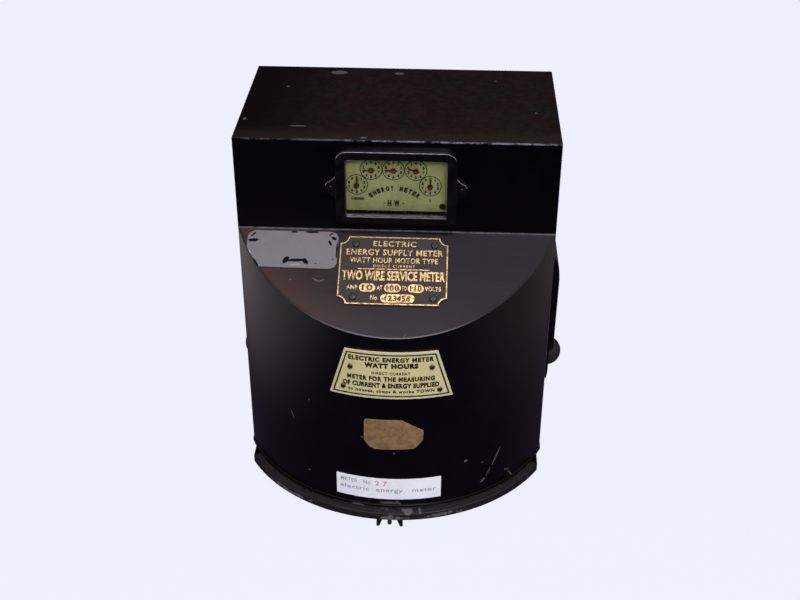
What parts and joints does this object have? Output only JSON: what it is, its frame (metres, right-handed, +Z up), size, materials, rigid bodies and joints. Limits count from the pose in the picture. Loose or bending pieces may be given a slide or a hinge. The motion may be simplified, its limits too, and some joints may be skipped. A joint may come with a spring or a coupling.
{
  "type": "electricity meter",
  "caption": "wall-hung commutator watt-hour meter with black bell cover, dial window, sloping panel, rounded barrel front and a complete motor, brake and register train inside",
  "frame": {"origin": "on the wall plane, in the middle of the meter's width, level with the underside of the base rim", "axes": "+Z up, -Y out of the wall towards the viewer, +X to the viewer's right; the wall is the plane y = 0"},
  "size_m": [0.3112, 0.2458, 0.3295],
  "materials": {
    "cast_iron_black": "rough black enamel",
    "black_japan": "semi-gloss japan, worn",
    "bush_rubber": "matt",
    "winding": "varnished cotton over copper wire",
    "fibre": "vulcanised fibre",
    "silver": "polished silver",
    "brass": "aged",
    "magnet_steel": "dark red lacquer over steel",
    "dial_cream": "matt yellow-green cream",
    "dark_screw": "blued, dull",
    "clear_glass": "clear",
    "lead_grey": "flat grey, chipped",
    "ivory_enamel": "ivory, slightly yellowed",
    "steel": "dull",
    "brown_paper": "aged",
    "white_paper": "matt",
    "copper": "bare copper, satin",
    "red_pointer": "dark red"
  },
  "bodies": {
    "base": {"back_plate": "cast_iron_black", "bottom_shelf": "cast_iron_black", "terminal_cover_left": "black_japan", "terminal_cover_right": "black_japan", "cable_bush_left": "bush_rubber", "cable_bush_right": "bush_rubber", "field_coil_left": "winding", "field_coil_right": "winding", "mechanism_frame": "cast_iron_black", "resistance_spool": "winding", "brush_holder": "fibre", "brush_left": "silver", "brush_right": "silver", "jewel_screw": "brass", "upper_bearing": "brass", "brake_magnet_right": "magnet_steel", "brake_magnet_left": "magnet_steel", "brake_magnet_front": "magnet_steel", "magnet_bracket": "cast_iron_black", "movement_frame": "brass", "dial_plate": "dial_cream", "dial_screw": "dark_screw"},
    "cover_assembly": {"cover": "black_japan", "window_bezel": "black_japan", "window_glass": "clear_glass", "nameplate": "brass", "patch_label": "lead_grey", "maker_plate": "ivory_enamel", "cover_stud": "steel", "calibration_label": "brown_paper", "inventory_label": "white_paper", "bezel_screw_left": "dark_screw", "bezel_screw_right": "dark_screw", "nameplate_screw_top_left": "dark_screw", "nameplate_screw_top_right": "dark_screw", "nameplate_screw_bottom_left": "dark_screw", "nameplate_screw_bottom_right": "dark_screw", "maker_plate_screw_top_left": "steel", "maker_plate_screw_top_right": "steel", "maker_plate_screw_bottom_left": "steel", "maker_plate_screw_bottom_right": "steel"},
    "washer": {"wing_nut_washer": "steel"},
    "nut": {"wing_nut": "cast_iron_black"},
    "rotor": {"rotor_shaft": "steel", "armature": "winding", "commutator": "silver", "brake_disc": "copper", "disc_hub": "brass"},
    "worm_wheel": {"worm_wheel_arbor": "brass"},
    "dial_1": {"dial_arbor_1": "brass", "pointer_1": "red_pointer"},
    "dial_2": {"dial_arbor_2": "brass", "pointer_2": "red_pointer"},
    "dial_3": {"dial_arbor_3": "brass", "pointer_3": "red_pointer"},
    "dial_4": {"dial_arbor_4": "brass", "pointer_4": "red_pointer"},
    "dial_5": {"dial_arbor_5": "brass", "pointer_5": "red_pointer"}
  },
  "joints": [
    {"name": "cover_lift", "type": "slide", "parent": "base", "child": "cover_assembly", "axis": [0, 0, 1], "range_m": [0, 0.32]},
    {"name": "washer_travel", "type": "slide", "parent": "base", "child": "washer", "axis": [0, 0, -1], "range_m": [0, 0.008]},
    {"name": "wing_nut_turn", "type": "hinge", "parent": "washer", "child": "nut", "pos_m": [-0.0018, -0.232, -0.004], "axis": [0, 0, -1], "range_deg": [0, 2890]},
    {"name": "rotor_spin", "type": "hinge", "parent": "base", "child": "rotor", "pos_m": [0, -0.11, 0.165], "axis": [0, 0, 1], "continuous": true},
    {"name": "worm_wheel_turn", "type": "hinge", "parent": "base", "child": "worm_wheel", "pos_m": [0.018, -0.11, 0.25241], "axis": [0, -1, 0], "continuous": true},
    {"name": "dial_5_turn", "type": "hinge", "parent": "base", "child": "dial_5", "pos_m": [0.027, -0.1454, 0.268], "axis": [0, -1, 0], "continuous": true},
    {"name": "dial_4_turn", "type": "hinge", "parent": "base", "child": "dial_4", "pos_m": [0.0153, -0.1454, 0.2817], "axis": [0, -1, 0], "continuous": true},
    {"name": "dial_3_turn", "type": "hinge", "parent": "base", "child": "dial_3", "pos_m": [-0.0027, -0.1454, 0.2817], "axis": [0, -1, 0], "continuous": true},
    {"name": "dial_2_turn", "type": "hinge", "parent": "base", "child": "dial_2", "pos_m": [-0.0207, -0.1454, 0.2817], "axis": [0, -1, 0], "continuous": true},
    {"name": "dial_1_turn", "type": "hinge", "parent": "base", "child": "dial_1", "pos_m": [-0.0324, -0.1454, 0.268], "axis": [0, -1, 0], "continuous": true}
  ],
  "couplings": [
    {"joint": "wing_nut_turn", "follows": "washer_travel", "rad_per_m": 6283.2},
    {"joint": "worm_wheel_turn", "follows": "rotor_spin", "ratio": 0.02},
    {"joint": "dial_5_turn", "follows": "rotor_spin", "ratio": -0.002},
    {"joint": "dial_4_turn", "follows": "rotor_spin", "ratio": 0.0002},
    {"joint": "dial_3_turn", "follows": "rotor_spin", "ratio": -0.00002},
    {"joint": "dial_2_turn", "follows": "rotor_spin", "ratio": 0.000002},
    {"joint": "dial_1_turn", "follows": "rotor_spin", "ratio": -0.0000002}
  ]
}
